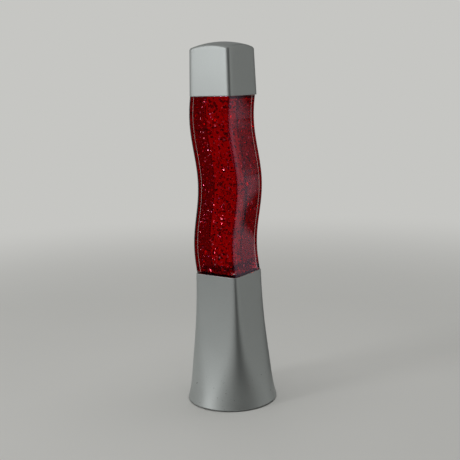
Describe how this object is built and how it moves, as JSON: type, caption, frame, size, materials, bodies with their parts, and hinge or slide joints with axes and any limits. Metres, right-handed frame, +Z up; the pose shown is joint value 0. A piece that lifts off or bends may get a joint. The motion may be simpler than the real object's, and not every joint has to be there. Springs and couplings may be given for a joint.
{
  "type": "glitter lamp",
  "caption": "Table lamp with a flared silver base, a clear square bottle of red glitter liquid that sways from side to side, and a loose domed silver cap.",
  "frame": {"origin": "on the table under the middle of the lamp", "axes": "+Z up, -Y to the front, +Y to the cord inlet, and the bottle sways along X"},
  "size_m": [0.102, 0.102, 0.3999],
  "materials": {
    "silver_paint": "satin silver paint on a moulded shell",
    "clear_glass": "clear and polished",
    "red_liquid": "clear red liquid",
    "glitter_foil": "cut foil flakes",
    "black_plastic": "moulded, fine grain",
    "black_rubber": "matt",
    "zinc_steel": "zinc plated",
    "holder_core": "pale heat-proof moulding",
    "brass": "plain",
    "shield_sheet": "bright sheet",
    "solder": "solder",
    "bulb_black": "black glass",
    "nickel": "nickel plated",
    "bulb_glass": "clear",
    "wire": "drawn wire",
    "tinplate": "pressed tinplate",
    "liner": "soft sealing sheet"
  },
  "bodies": {
    "base": {"base_shell": "silver_paint", "base_plate": "black_plastic", "plate_screws": "zinc_steel", "rubber_feet": "black_rubber", "cord_grommet": "black_rubber", "holder_bracket": "zinc_steel", "bracket_screws": "zinc_steel", "bracket_nuts": "zinc_steel", "threaded_nipple": "zinc_steel", "nipple_nut": "zinc_steel", "holder_dome": "black_plastic", "holder_insert": "holder_core", "screw_shell": "brass", "centre_contact": "brass", "terminal_screws": "brass", "holder_skirt": "black_plastic", "heat_shield": "shield_sheet", "shade_ring": "black_plastic"},
    "bulb_tip": {"bulb_contact": "solder"},
    "bulb": {"bulb_insulator": "bulb_black", "bulb_cap": "nickel", "bulb_glass": "bulb_glass", "bulb_stem": "bulb_glass", "support_wires": "wire", "filament": "wire"},
    "bottle": {"bottle": "clear_glass", "red_liquid": "red_liquid", "glitter": "glitter_foil", "crown_cap": "tinplate", "crown_liner": "liner"},
    "cap": {"top_cap": "silver_paint"}
  },
  "joints": [
    {"name": "bottle_lift", "type": "slide", "parent": "base", "child": "bottle", "axis": [0, 0, 1], "range_m": [0, 0.08]},
    {"name": "cap_lift", "type": "slide", "parent": "bottle", "child": "cap", "axis": [0, 0, 1], "range_m": [0, 0.06]},
    {"name": "bulb_rise", "type": "slide", "parent": "base", "child": "bulb_tip", "axis": [0, 0, 1], "range_m": [0, 0.01129]},
    {"name": "bulb_turn", "type": "hinge", "parent": "bulb_tip", "child": "bulb", "pos_m": [0, 0, 0.08], "axis": [0, 0, 1], "range_deg": [0, 1440]}
  ],
  "couplings": [
    {"joint": "bulb_rise", "follows": "bulb_turn", "m_per_rad": 0.00044882}
  ]
}
